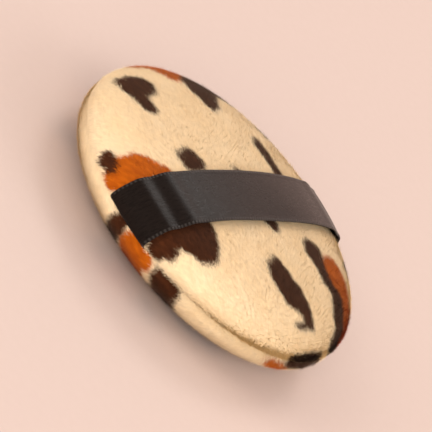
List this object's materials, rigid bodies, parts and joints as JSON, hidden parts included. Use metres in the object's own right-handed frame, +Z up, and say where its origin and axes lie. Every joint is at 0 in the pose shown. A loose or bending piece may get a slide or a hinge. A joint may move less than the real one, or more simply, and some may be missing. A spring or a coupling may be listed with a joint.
{
  "type": "powder puff",
  "caption": "Round plush powder puff in an animal print, two stuffed covers joined by an edge seam, with a black satin ribbon finger strap across one face.",
  "frame": {"origin": "bottom centre of the puff, on the surface it lies on", "axes": "+Z up through the puff's thickness, out of the face with the ribbon; +X along the ribbon; +Y across it"},
  "size_m": [0.0932, 0.09, 0.0257],
  "materials": {
    "printed_plush": "short dense plush pile, cream with brown and rust tortoiseshell print",
    "satin_ribbon": "black woven satin",
    "polyester_fibre": "loose white staple fibre",
    "sewing_thread": "spun polyester thread"
  },
  "bodies": {
    "puff": {"upper_cover": "printed_plush", "lower_cover": "printed_plush", "fibre_filling": "polyester_fibre", "ribbon_left_tail": "satin_ribbon", "ribbon_right_tail": "satin_ribbon", "seam_needle_thread": "sewing_thread", "seam_bobbin_thread": "sewing_thread", "left_back_stitches": "sewing_thread", "right_back_stitches": "sewing_thread", "closing_stitches": "sewing_thread"},
    "strap": {"ribbon_left_flank": "satin_ribbon", "ribbon_right_flank": "satin_ribbon"},
    "strap_middle": {"ribbon_middle": "satin_ribbon"}
  },
  "joints": [
    {"name": "ribbon_sway", "type": "hinge", "parent": "puff", "child": "strap", "pos_m": [0, 0, 0.012], "axis": [1, 0, 0], "range_deg": [-6, 6], "stiffness_Nm_per_rad": 0.002},
    {"name": "ribbon_lift", "type": "slide", "parent": "strap", "child": "strap_middle", "axis": [0, 0, 1], "range_m": [0, 0.009], "stiffness_N_per_m": 5, "deforming": ["ribbon_left_flank", "ribbon_right_flank"]}
  ]
}
